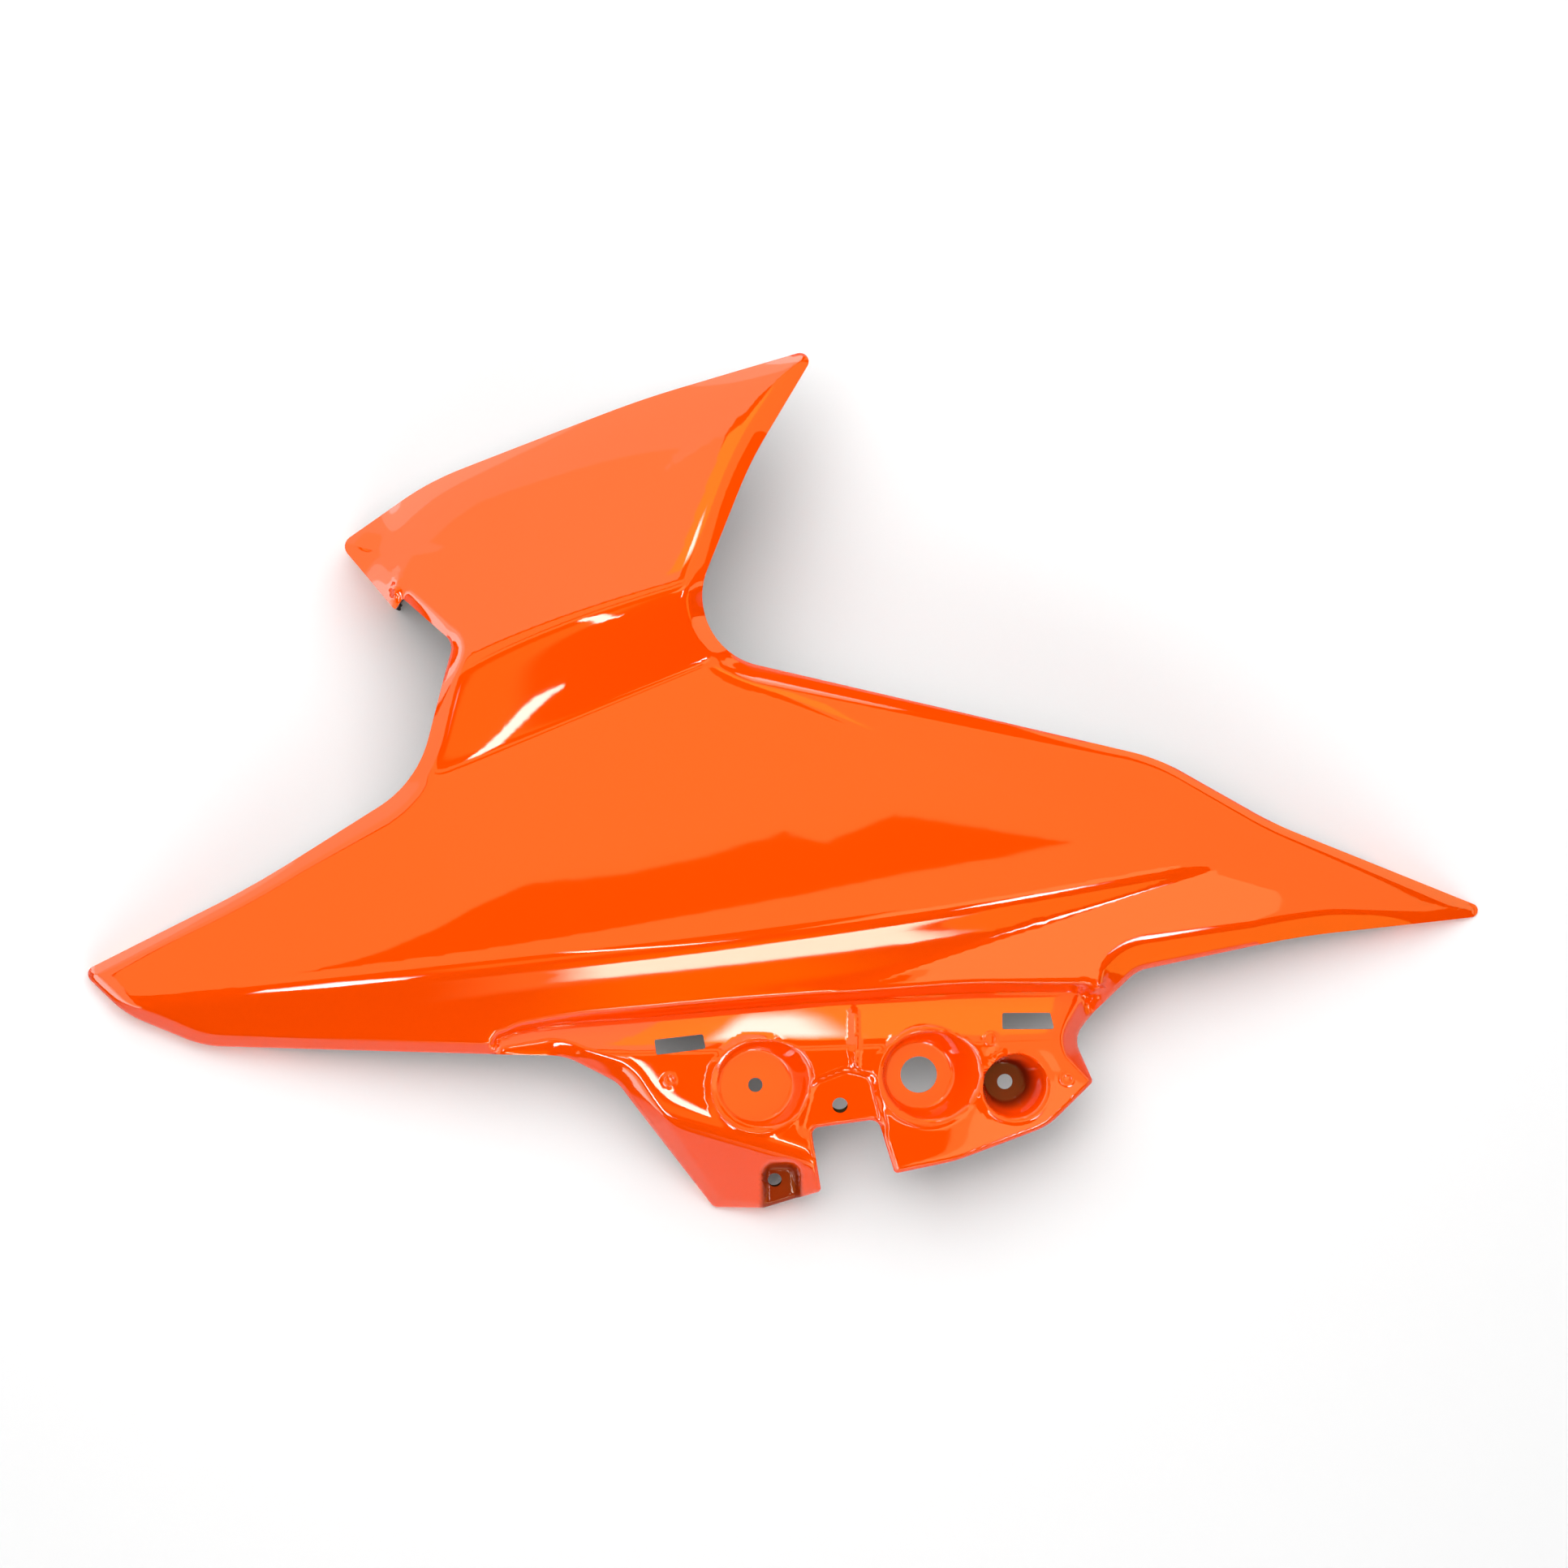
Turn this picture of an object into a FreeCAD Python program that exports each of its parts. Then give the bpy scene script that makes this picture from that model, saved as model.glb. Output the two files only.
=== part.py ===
"""Headlight fairing of a motorbike: one moulded side panel with wing, nose, tail and mounting apron.

The panel lies as it rests on a table, outer face up: +X runs from the nose to the tail, +Y from the apron
to the wing, and the origin is on the table under the middle of the panel. Lengths are in millimetres.

The skin is a crowned plate folded along a few character lines. Each of its faces is a quadratic height
patch. A rolled block is all that lies under one patch inside an outline, with its upper edge rounded, so
blocks that share an outline meet in a mitre where they are joined. The same blocks, inset by the wall and
lowered by it, make the hollow underside.
"""

import FreeCAD
import Part
import math
import os

Vector = FreeCAD.Vector

# Wall, rolled rim and return flange
WALL = 2.6
RIM_RADIUS = 3.0
NECK_RIM_RADIUS = 2.4
RETURN_HEIGHT = 12.0
APRON_RETURN_HEIGHT = 8.0

# Main face: its crown above the table and the radii of its bow along X and Y
CROWN_HEIGHT = 66.0
CROWN_AT = (0.0, -20.0)
BOW_X = 640.0
BOW_Y = 900.0

# Character lines in plan; the face beyond a line lies on its left
VALLEY = ((-150.0, -2.5), (-31.0, 46.5))
BROW_LINE = ((-31.0, 46.5), (157.0, -30.0))
RIDGE = ((182.0, -37.0), (-212.0, -81.0))
TAIL_FOLD = ((144.0, 9.0), (182.0, -38.0))

# Slopes of the faces beyond those lines, measured from the main face
NECK_RISE_LEFT = 0.30
NECK_RISE_RIGHT = 0.78
BROW_FALL = 0.26
FLANK_FALL = 0.80
FLANK_HOLLOW = 90.0
SHELF_FALL = 0.20
SHELF_SINK = 0.07
TAIL_FALL = 0.06

# Wing face: height, slopes and bow at a point on its neck
WING_HEIGHT = 84.0
WING_AT = (-33.0, 76.0)
WING_SLOPE = (0.10, -0.25)
WING_BOW_X = 280.0
WING_BOW_Y = 400.0

# Lobe flange: the stretch of the wing's edge whose return reaches the table
LOBE_FLANGE_END = (-150.5, 67.0)
LOBE_FLANGE_REACH = 9.0

# Apron: its fold and the faces above it, below it, on the leg and at the right end
FOLD = ((-69.5, -104.4), (108.2, -98.8))
FOLD_HEIGHT = 44.5
FOLD_MIDDLE = 20.0
FOLD_BOW = 800.0
STRIP_FALL = 0.27
FACE_FALL = 0.18
LEG_FOLD = ((13.8, -146.0), (-36.5, -131.8))
LEG_FALL = 1.10
END_FOLD = ((105.0, -99.0), (117.5, -116.0))
END_FALL = 0.55

# Screw seats and cup: mouth centre in plan, radii of mouth, floor and hole, depth along the axis and its lean
SEAT_LIP = 1.0
SCREW_SEAT = {
    "at": (-9.9, -117.0),
    "mouth": 16.5,
    "floor": 14.2,
    "hole": 2.75,
    "depth": 5.5,
    "lean": (0.22, -0.06),
}
GROMMET_SEAT = {
    "at": (55.2, -113.5),
    "mouth": 17.0,
    "floor": 13.3,
    "hole": 7.0,
    "depth": 9.0,
    "lean": (0.32, -0.08),
}
CUP = {
    "at": (89.8, -117.6),
    "mouth": 12.2,
    "floor": 8.0,
    "hole": 3.0,
    "depth": 19.0,
    "lean": (0.20, -0.09),
}

# Screw pad above the notch, rib in the gutter, slots and arched pocket in the leg
PAD = [
    (5.5, -136.0, 3.0),
    (11.0, -115.5, 5.0),
    (24.0, -110.5, 6.0),
    (34.0, -113.0, 4.0),
    (40.0, -136.0, 3.0),
]
PAD_DEPTH = 1.4
PAD_HOLE = (21.7, -124.0)
PAD_HOLE_RADIUS = 3.0
RIB_X = 27.5
RIB_WIDTH = 2.5
RIB_ENDS = (-112.0, -81.0)
SLOT_LENGTH = 18.8
SLOT_WIDTH = 6.0
SLOTS = [((-40.3, -99.8), 5.6), ((94.2, -91.5), 0.0)]
ARCH_LEFT = -9.5
ARCH_RIGHT = 8.0
ARCH_TOP = -146.5
ARCH_CORNER = 6.0
ARCH_DEPTH = 14.0
ARCH_FLOOR_SLOPE = 0.35
ARCH_END = -178.0
ARCH_HOLE = (-2.5, -154.4)
ARCH_HOLE_RADIUS = 2.7

# Line in plan where the flank steps down to the apron, from right to left
STEP_LINE = [
    (118.0, -79.5, 1.5),
    (72.0, -79.0, 300.0),
    (-21.0, -86.0, 500.0),
    (-84.0, -92.0, 300.0),
    (-103.0, -95.5, 20.0),
    (-110.5, -100.0, 3.0),
]

# Clockwise plan outlines: corner X, corner Y and the radius that rounds it
NOSE_NECK = (-142.0, 0.5, 45.0)
NECK_BROW = (-41.0, 53.0, 27.0)
LOWER_EDGE = [
    (199.0, -59.5, 300.0),
    (137.0, -72.5, 14.0),
    (121.0, -88.0, 4.2),
    *STEP_LINE,
    (-111.5, -105.0, 4.2),
    (-227.0, -101.5, 30.0),
    (-253.5, -88.0, 60.0),
]
UPPER_EDGE = [
    (-274.5, -73.5, 4.0),
    (-206.0, -39.5, 400.0),
    NOSE_NECK,
    (-100.0, 60.0, 20.0),
    NECK_BROW,
    (145.0, 10.0, 80.0),
    (190.5, -15.5, 150.0),
    (280.0, -51.0, 3.4),
]
ABOVE_RIDGE = [(-316.5, -44.5, 10.0), (340.0, 10.0, 10.0), (340.0, -44.7, 10.0)]
BODY_OUTLINE = UPPER_EDGE + LOWER_EDGE
FLANK_OUTLINE = ABOVE_RIDGE + LOWER_EDGE
FLANK_ZONE = [(-335.0, -65.0, 1.0), (355.0, -5.0, 1.0), (355.0, -130.0, 1.0), (-335.0, -130.0, 1.0)]
LOBE_CORNER = (-172.5, 93.0, 4.2)
WING_LEFT = [(-206.0, -39.5, 5.0), NOSE_NECK, (-127.5, 54.5, 6.0)]
WING_RIGHT = [(-13.0, 124.0, 150.0), NECK_BROW, (60.0, 29.6, 5.0), (20.0, 0.0, 5.0), (-150.0, -40.0, 5.0)]
WING_TOP = [LOBE_CORNER, (-138.0, 117.0, 110.0), (-55.0, 148.5, 400.0), (13.5, 169.0, 3.4)]
NECK_TOP = [(-220.0, 126.0, 20.0), (-220.0, 230.0, 20.0), (52.0, 230.0, 20.0)]
WING_OUTLINE = WING_LEFT + WING_TOP + WING_RIGHT
NECK_OUTLINE = WING_LEFT + NECK_TOP + WING_RIGHT
APRON_EDGE = [
    (121.0, -88.0, 1.5),
    (112.5, -98.5, 9.0),
    (120.0, -115.5, 1.6),
    (102.0, -131.5, 25.0),
    (66.0, -145.0, 60.0),
    (43.0, -151.2, 1.6),
    (36.5, -130.0, 4.0),
    (10.5, -133.5, 3.0),
    (14.5, -158.5, 1.6),
    (-8.0, -165.5, 2.0),
    (-27.5, -165.5, 3.0),
    (-63.0, -115.0, 18.0),
    (-85.0, -105.5, 25.0),
    (-110.5, -104.5, 1.6),
]

APRON_TOP = [(x, y + WALL / 2, radius) for x, y, radius in reversed(STEP_LINE)]
APRON_OUTLINE = APRON_TOP + APRON_EDGE

# Depth and height of the blocks before they are trimmed, and how far a patch reaches past every outline
DEEP = 70.0
HIGH = 320.0
PATCH_MARGIN = 8.0
PATCH_SPAN = PATCH_MARGIN + max(abs(x) for x, y, radius in FLANK_OUTLINE)

# Gap that counts as touching where blocks that share a side wall are joined
JOIN_TOLERANCE = 0.001


def quadratic(constant=0.0, x=0.0, y=0.0, xx=0.0, xy=0.0, yy=0.0):
    """Height patch constant + x X + y Y + xx X^2 + xy X Y + yy Y^2."""
    return (constant, x, y, xx, xy, yy)


def plus(*patches):
    return tuple(sum(terms) for terms in zip(*patches))


def scaled(patch, factor):
    return tuple(factor * term for term in patch)


def product(a, b):
    """Product of two patches that are linear in X and Y."""
    return (
        a[0] * b[0],
        a[0] * b[1] + a[1] * b[0],
        a[0] * b[2] + a[2] * b[0],
        a[1] * b[1],
        a[1] * b[2] + a[2] * b[1],
        a[2] * b[2],
    )


def crowned(height, at, slope, bow_x, bow_y):
    """A bowed face: its height and slopes at a plan point, and its radii of bow along X and Y."""
    along_x = quadratic(-at[0], x=1.0)
    along_y = quadratic(-at[1], y=1.0)
    return plus(
        quadratic(height),
        scaled(along_x, slope[0]),
        scaled(along_y, slope[1]),
        scaled(product(along_x, along_x), -0.5 / bow_x),
        scaled(product(along_y, along_y), -0.5 / bow_y),
    )


def beyond(line):
    """Plan distance to the left of a line, as a linear patch."""
    (x0, y0), (x1, y1) = line
    length = math.hypot(x1 - x0, y1 - y0)
    nx, ny = (y0 - y1) / length, (x1 - x0) / length
    return quadratic(-nx * x0 - ny * y0, x=nx, y=ny)


def along(line):
    """Plan distance along a line from its start, as a linear patch."""
    (x0, y0), (x1, y1) = line
    length = math.hypot(x1 - x0, y1 - y0)
    ux, uy = (x1 - x0) / length, (y1 - y0) / length
    return quadratic(-ux * x0 - uy * y0, x=ux, y=uy)


def height(patch, x, y):
    constant, px, py, xx, xy, yy = patch
    return constant + px * x + py * y + xx * x * x + xy * x * y + yy * y * y


def normal(patch, at):
    """Upward unit normal of a patch at a plan point."""
    x, y = at
    slope_x = patch[1] + 2 * patch[3] * x + patch[4] * y
    slope_y = patch[2] + 2 * patch[5] * y + patch[4] * x
    return Vector(-slope_x, -slope_y, 1.0).normalize()


def lowered(patch, at, thickness):
    """A patch moved down so that it lies a thickness below itself, square to its slope at a plan point."""
    return plus(patch, quadratic(-thickness / normal(patch, at).z))


def solid_under(patch):
    """The solid under a patch, down to well below the table."""
    surface = Part.BezierSurface()
    surface.increase(2, 2)
    ends = ((-PATCH_SPAN, -PATCH_SPAN), (-PATCH_SPAN, PATCH_SPAN), (PATCH_SPAN, PATCH_SPAN))
    constant, px, py, xx, xy, yy = patch
    for i, (xa, xb) in enumerate(ends):
        for j, (ya, yb) in enumerate(ends):
            xm, ym = (xa + xb) / 2, (ya + yb) / 2
            z = constant + px * xm + py * ym + xx * xa * xb + xy * xm * ym + yy * ya * yb
            surface.setPole(i + 1, j + 1, Vector(xm, ym, z))
    return surface.toShape().extrude(Vector(0, 0, -1200.0))


def rounded_wire(corners, z):
    """A closed wire of straight runs and tangent arcs through corners given as (x, y, radius)."""
    count = len(corners)
    arcs = []
    for i, (x, y, radius) in enumerate(corners):
        before, after = corners[i - 1], corners[(i + 1) % count]
        a = Vector(before[0] - x, before[1] - y, 0).normalize()
        b = Vector(after[0] - x, after[1] - y, 0).normalize()
        half = a.getAngle(b) / 2
        reach = radius / math.tan(half)
        corner = Vector(x, y, z)
        middle = corner + (a + b).normalize() * (radius / math.sin(half) - radius)
        arcs.append((corner + a * reach, middle, corner + b * reach))
    edges = []
    for i, (start, middle, end) in enumerate(arcs):
        edges.append(Part.Arc(start, middle, end).toShape())
        edges.append(Part.LineSegment(end, arcs[(i + 1) % count][0]).toShape())
    return Part.Wire(edges)


def inset(corners, distance):
    """Clockwise corners moved inwards by a distance, with the radii that keep the wall even."""
    count = len(corners)
    moved = []
    for i, (x, y, radius) in enumerate(corners):
        before, after = corners[i - 1], corners[(i + 1) % count]
        a = Vector(x - before[0], y - before[1], 0).normalize()
        b = Vector(after[0] - x, after[1] - y, 0).normalize()
        na, nb = Vector(a.y, -a.x, 0), Vector(b.y, -b.x, 0)
        shift = (na + nb) * (distance / (1 + na.dot(nb)))
        turns_right = a.cross(b).z < 0
        inner_radius = radius - distance if turns_right else radius + distance
        moved.append((x + shift.x, y + shift.y, max(inner_radius, 0.4)))
    return moved


def prism(corners, low, high):
    face = Part.Face(rounded_wire(corners, low))
    return face.extrude(Vector(0, 0, high - low))


def rolled_block(corners, patch, radius):
    """All that lies under a patch inside an outline, with its upper edge rounded."""
    block = prism(corners, -DEEP, HIGH).common(solid_under(patch))
    top = next(face for face in block.Faces if isinstance(face.Surface, Part.BezierSurface))
    return block.makeFillet(radius, top.Edges)


def main_face():
    return crowned(CROWN_HEIGHT, CROWN_AT, (0.0, 0.0), BOW_X, BOW_Y)


def body_faces():
    """Main face, brow and tail, then the flank and shelf below the ridge, each with a plan point on it."""
    main = main_face()
    brow = plus(main, scaled(beyond(BROW_LINE), -BROW_FALL))
    tail = plus(main, scaled(beyond(TAIL_FOLD), -TAIL_FALL))
    below = beyond(RIDGE)
    hollow = scaled(product(below, below), 0.5 / FLANK_HOLLOW)
    flank = plus(main, scaled(below, -FLANK_FALL), hollow)
    shelf = plus(main, scaled(below, -SHELF_FALL), scaled(along(RIDGE), -SHELF_SINK))
    upper = [(main, (0.0, 0.0)), (brow, (60.0, 30.0)), (tail, (220.0, -40.0))]
    lower = [(flank, (-20.0, -70.0)), (shelf, (120.0, -60.0))]
    return upper, lower


def wing_faces():
    """Neck riser and wing, each with its outline and a plan point on it."""
    line_length = math.dist(*VALLEY)
    steepening = scaled(along(VALLEY), (NECK_RISE_RIGHT - NECK_RISE_LEFT) / line_length)
    rise = plus(quadratic(NECK_RISE_LEFT), steepening)
    neck = plus(main_face(), product(rise, beyond(VALLEY)))
    wing = crowned(WING_HEIGHT, WING_AT, WING_SLOPE, WING_BOW_X, WING_BOW_Y)
    return [(NECK_OUTLINE, neck, (-70.0, 45.0)), (WING_OUTLINE, wing, (-80.0, 110.0))]


def apron_faces():
    """Strip above the fold, face below it, leg and right end, each with a plan point on it."""
    base = crowned(FOLD_HEIGHT, (FOLD_MIDDLE, 0.0), (0.0, 0.0), FOLD_BOW, math.inf)
    above = beyond(FOLD)
    strip = plus(base, scaled(above, -STRIP_FALL))
    face = plus(base, scaled(above, FACE_FALL))
    leg = plus(face, scaled(beyond(LEG_FOLD), -LEG_FALL))
    end = plus(face, scaled(beyond(END_FOLD), -END_FALL))
    return [
        (strip, (20.0, -93.0)),
        (face, (20.0, -115.0)),
        (leg, (-20.0, -155.0)),
        (end, (116.0, -105.0)),
    ]


def common_of(blocks):
    result = blocks[0]
    for block in blocks[1:]:
        result = result.common([block], JOIN_TOLERANCE)
    return result


def fused(blocks):
    return blocks[0].fuse(blocks[1:], JOIN_TOLERANCE)


def skin_solid(make):
    """Body joined with wing, from a function that turns an outline, a patch and its point into a block."""
    upper, lower = body_faces()
    top = common_of([make(BODY_OUTLINE, patch, at) for patch, at in upper])
    flank = fused([make(FLANK_OUTLINE, patch, at) for patch, at in lower])
    above_flank = prism(FLANK_ZONE, -2 * DEEP, HIGH).cut(flank)
    wing = common_of([make(*face) for face in wing_faces()])
    body = top.cut([above_flank], JOIN_TOLERANCE)
    return fused([body, wing])


def outer_block(corners, patch, at):
    radius = NECK_RIM_RADIUS if corners is NECK_OUTLINE else RIM_RADIUS
    return rolled_block(corners, patch, radius)


def hollow_block(corners, patch, at):
    return prism(inset(corners, WALL), -DEEP - 1, HIGH).common(solid_under(lowered(patch, at, WALL)))


def trim_block(corners, patch, at):
    """What lies below the return flange; the flank's reaches further out, so that no side walls coincide."""
    margin = 3.0 if corners is FLANK_OUTLINE else 1.0
    low = plus(patch, quadratic(-RETURN_HEIGHT))
    return prism(inset(corners, -margin), -DEEP - 2, HIGH).common(solid_under(low))


def lobe_zone():
    """Block around the lobe's edge, where the return flange is kept down to the table."""
    start, end = Vector(LOBE_CORNER[0], LOBE_CORNER[1], 0), Vector(*LOBE_FLANGE_END, 0)
    run = (end - start).normalize()
    side = Vector(-run.y, run.x, 0) * LOBE_FLANGE_REACH
    before = start - run * LOBE_FLANGE_REACH
    corners = [before + side, end + side, end - side, before - side, before + side]
    return Part.Face(Part.makePolygon(corners)).extrude(Vector(0, 0, HIGH))


def apron_skin(make, corners):
    return common_of([make(corners, patch, at) for patch, at in apron_faces()])


def apron_outer_block(corners, patch, at):
    return prism(corners, -DEEP, HIGH).common(solid_under(patch))


def apron_trim_block(corners, patch, at):
    low = plus(patch, quadratic(-APRON_RETURN_HEIGHT))
    return prism(inset(corners, -1.0), -DEEP - 2, HIGH).common(solid_under(low))


def apron_shell():
    """The apron's wall with its return flange; along the step it ends inside the flank's return."""
    outer = apron_skin(apron_outer_block, APRON_OUTLINE)
    past_step = [(x, y + 3 * WALL, radius) for x, y, radius in APRON_TOP] + APRON_EDGE
    hollow = apron_skin(hollow_block, past_step)
    below = apron_skin(apron_trim_block, past_step)
    return outer.cut([hollow, below], JOIN_TOLERANCE)


def seat(sizes, face):
    """A drafted seat sunk in the apron: what it adds and what it takes away."""
    axis = Vector(*sizes["lean"], 1.0).normalize()
    mouth = Vector(*sizes["at"], height(face, *sizes["at"]))
    floor = mouth - axis * sizes["depth"]
    draft = (sizes["mouth"] - sizes["floor"]) / sizes["depth"]
    over = sizes["mouth"] / 2
    wide = sizes["mouth"] + draft * over
    cut = Part.makeCone(sizes["floor"], wide, sizes["depth"] + over, floor, axis)
    narrow = sizes["floor"] + WALL - draft * WALL
    body = Part.makeCone(narrow, wide + WALL, sizes["depth"] + over + WALL, floor - axis * WALL, axis)
    body = body.common(solid_under(plus(face, quadratic(SEAT_LIP))))
    return body, cut.fuse(hole_through(floor, axis, sizes["hole"]))


def hole_through(mouth, axis, radius):
    return Part.makeCylinder(radius, 4 * WALL, mouth - axis * (3 * WALL), axis)


def screw_pad(face):
    """The flat pad sunk in the apron above its notch."""
    floor = plus(face, quadratic(-PAD_DEPTH))
    under = lowered(floor, PAD_HOLE, WALL)
    body = prism(inset(PAD, -WALL), 0.0, HIGH).common(solid_under(face)).cut(solid_under(under))
    body = body.common(prism(APRON_OUTLINE, 0.0, HIGH))
    mouth = Vector(*PAD_HOLE, height(floor, *PAD_HOLE))
    cut = prism(PAD, 0.0, HIGH).cut(solid_under(floor))
    return body, cut.fuse(hole_through(mouth, normal(floor, PAD_HOLE), PAD_HOLE_RADIUS))


def arched_pocket(leg):
    """The pocket that opens at the leg's foot, with its screw hole."""
    middle = (ARCH_LEFT + ARCH_RIGHT) / 2
    top_height = height(leg, middle, ARCH_TOP) - ARCH_DEPTH
    floor = quadratic(top_height - ARCH_FLOOR_SLOPE * ARCH_TOP, y=ARCH_FLOOR_SLOPE)
    under = lowered(floor, ARCH_HOLE, WALL)
    arch = [
        (ARCH_LEFT, ARCH_END, 1.0),
        (ARCH_LEFT, ARCH_TOP, ARCH_CORNER),
        (ARCH_RIGHT, ARCH_TOP, ARCH_CORNER),
        (ARCH_RIGHT, ARCH_END, 1.0),
    ]
    body = prism(inset(arch, -WALL), -DEEP, HIGH).common(solid_under(leg)).cut(solid_under(under))
    body = body.common(prism(APRON_OUTLINE, -DEEP, HIGH))
    mouth = Vector(*ARCH_HOLE, height(floor, *ARCH_HOLE))
    cut = prism(arch, -DEEP, HIGH).cut(solid_under(floor))
    return body, cut.fuse(hole_through(mouth, normal(floor, ARCH_HOLE), ARCH_HOLE_RADIUS))


def gutter_rib():
    """The small rib that crosses the gutter from the flank's step to the fold."""
    base = crowned(FOLD_HEIGHT, (FOLD_MIDDLE, 0.0), (0.0, 0.0), FOLD_BOW, math.inf)
    low = min(height(apron_faces()[0][0], RIB_X, RIB_ENDS[1]), FOLD_HEIGHT) - WALL
    corner = Vector(RIB_X - RIB_WIDTH / 2, RIB_ENDS[0], low)
    box = Part.makeBox(RIB_WIDTH, RIB_ENDS[1] - RIB_ENDS[0], HIGH, corner)
    return box.common(solid_under(base))


def slot(at, angle):
    box = Part.makeBox(SLOT_LENGTH, SLOT_WIDTH, HIGH, Vector(-SLOT_LENGTH / 2, -SLOT_WIDTH / 2, 0))
    box.rotate(Vector(0, 0, 0), Vector(0, 0, 1), angle)
    box.translate(Vector(at[0], at[1], 0))
    return box


def mounting_features():
    """Seats, pad and pocket of the apron: what each adds and what it takes away."""
    face, leg = apron_faces()[1][0], apron_faces()[2][0]
    seats = [seat(sizes, face) for sizes in (SCREW_SEAT, GROMMET_SEAT, CUP)]
    return seats + [screw_pad(face), arched_pocket(leg)]


def apron():
    features = mounting_features()
    added = [body for body, cut in features] + [gutter_rib()]
    taken = [cut for body, cut in features] + [slot(at, angle) for at, angle in SLOTS]
    return fused([apron_shell(), *added]).cut(taken, JOIN_TOLERANCE)


def skin_shell():
    """Main face, nose, tail and wing as one wall with its return flange."""
    below = skin_solid(trim_block).cut(lobe_zone())
    return skin_solid(outer_block).cut([skin_solid(hollow_block), below], JOIN_TOLERANCE)


def centred(shape):
    """The shape moved so that the middle of its plan is at the origin and it stands on the table."""
    box = shape.optimalBoundingBox()
    shape.translate(Vector(-box.Center.x, -box.Center.y, -box.ZMin))
    return shape


def main():
    os.makedirs("parts", exist_ok=True)
    side = 2 * PATCH_SPAN
    under_table = Part.makeBox(side, side, 2 * DEEP, Vector(-side / 2, -side / 2, -2 * DEEP))
    panel = fused([skin_shell(), apron()]).cut(under_table)
    centred(panel).exportStep("parts/fairing_panel.step")


main()
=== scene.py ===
"""Studio scene of an orange headlight fairing: one painted ABS panel, outer face up on a white table.

The panel is one height surface over a plan outline. Sizes are in millimetres in a plan frame whose origin is
the middle of the picture. The finished mesh is moved by PLAN_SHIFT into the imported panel's frame and scaled
to metres.
"""

import math

import bpy
import numpy as np
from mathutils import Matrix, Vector
from mathutils.geometry import delaunay_2d_cdt


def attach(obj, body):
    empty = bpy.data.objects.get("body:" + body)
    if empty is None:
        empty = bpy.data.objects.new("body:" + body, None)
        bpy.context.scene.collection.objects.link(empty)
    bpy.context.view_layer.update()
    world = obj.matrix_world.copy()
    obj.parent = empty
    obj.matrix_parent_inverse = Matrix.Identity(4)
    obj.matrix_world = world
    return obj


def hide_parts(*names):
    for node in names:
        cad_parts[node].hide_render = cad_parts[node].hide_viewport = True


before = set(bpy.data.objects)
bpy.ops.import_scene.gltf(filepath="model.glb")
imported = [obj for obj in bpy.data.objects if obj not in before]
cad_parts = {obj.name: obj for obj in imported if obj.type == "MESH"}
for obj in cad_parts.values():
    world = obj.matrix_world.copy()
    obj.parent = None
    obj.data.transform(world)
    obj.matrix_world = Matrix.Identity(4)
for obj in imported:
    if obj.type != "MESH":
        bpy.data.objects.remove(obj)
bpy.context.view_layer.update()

# Metres in a millimetre, width of the picture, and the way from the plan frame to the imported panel's frame
MM = 0.001
PICTURE_WIDTH = 607.6
PLAN_SHIFT = (0.65, -0.58)

# Wall of the moulding, and how far its return flange hangs below the rim, on the apron and at the wing's lobe
WALL = 2.6
FLANGE = 12.0
APRON_FLANGE = 8.0
LOBE_FLANGE = 80.0

# Where the apron's flange and the lobe's flange are, and the end of the lobe, given the underside's dark
# colour, as a circle
APRON_SIDE_X = (-112.0, 122.0)
APRON_SIDE_TOP = -88.0
LOBE_RIGHT = -149.5
LOBE_Y = (60.0, 97.0)
LOBE_END = (-149.0, 69.5)
LOBE_END_RADIUS = 2.6

# Plan distance from the edge over which the underside draws in by a wall, least upright share of its normal,
# least heights of the upper face and the underside, least flange, rows down the flange, and the distance
# within which a point counts as on the edge
UNDERSIDE_REACH = 9.0
LEAST_UPRIGHT = 0.3
LEAST_TOP = 0.5
LEAST_UNDERSIDE = 0.05
LEAST_FLANGE = 0.2
FLANGE_ROWS = 5
ON_EDGE = 0.05

# Spacing of the mesh points on the skin and the apron, and along edges, folds, holes, slots and seats
SKIN_STEP = 2.2
APRON_STEP = 1.25
EDGE_STEP = 1.8
FOLD_STEP = 2.0
APRON_FOLD_STEP = 1.5
HOLE_STEP = 0.9
SLOT_STEP = 1.2
SEAT_FLOOR_STEP = 1.4
SEAT_WALL_STEP = 1.1

# Spacing along outlines that only serve to measure distances, largest turn in radians between two points of
# an arc, and least number of points on a ring
RIM_STEP = 1.6 * EDGE_STEP
PAD_STEP = 3.0
LOOP_STEP = 2.0
ARC_TURN = 0.3
LEAST_RING_POINTS = 8

# Rings of mesh points along a rim, in shares of its width, rows beside the step and the folds, rings round a
# mould mark, first, last and number of the rings on a seat's wall, and how far the rings on its floor stay
# from the hole and from the wall and lie apart
RIM_RINGS = (0.2, 0.4, 0.6, 0.75, 0.9, 1.05, 1.2, 1.45)
STEP_ROWS = (-5, -4.2, -3.5, -2.8, -2.1, -1.4, -0.7, 0, 0.7, 1.3, 2, 2.8, 3.8)
FOLD_ROWS = (-5.5, -4, -2.8, -1.8, -0.9, 0, 0.9, 1.8, 2.8, 4, 5.5)
APRON_FOLD_ROWS = (-2.4, -1.6, -0.8, 0, 0.8, 1.6, 2.4)
MARK_RINGS = (0.01, 0.9, 1.6, 2.2, 2.8, 3.6)
SEAT_RINGS = (-0.25, 1.45, 14)
SEAT_FLOOR_RINGS = (0.9, 1.2, 1.3)

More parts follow.
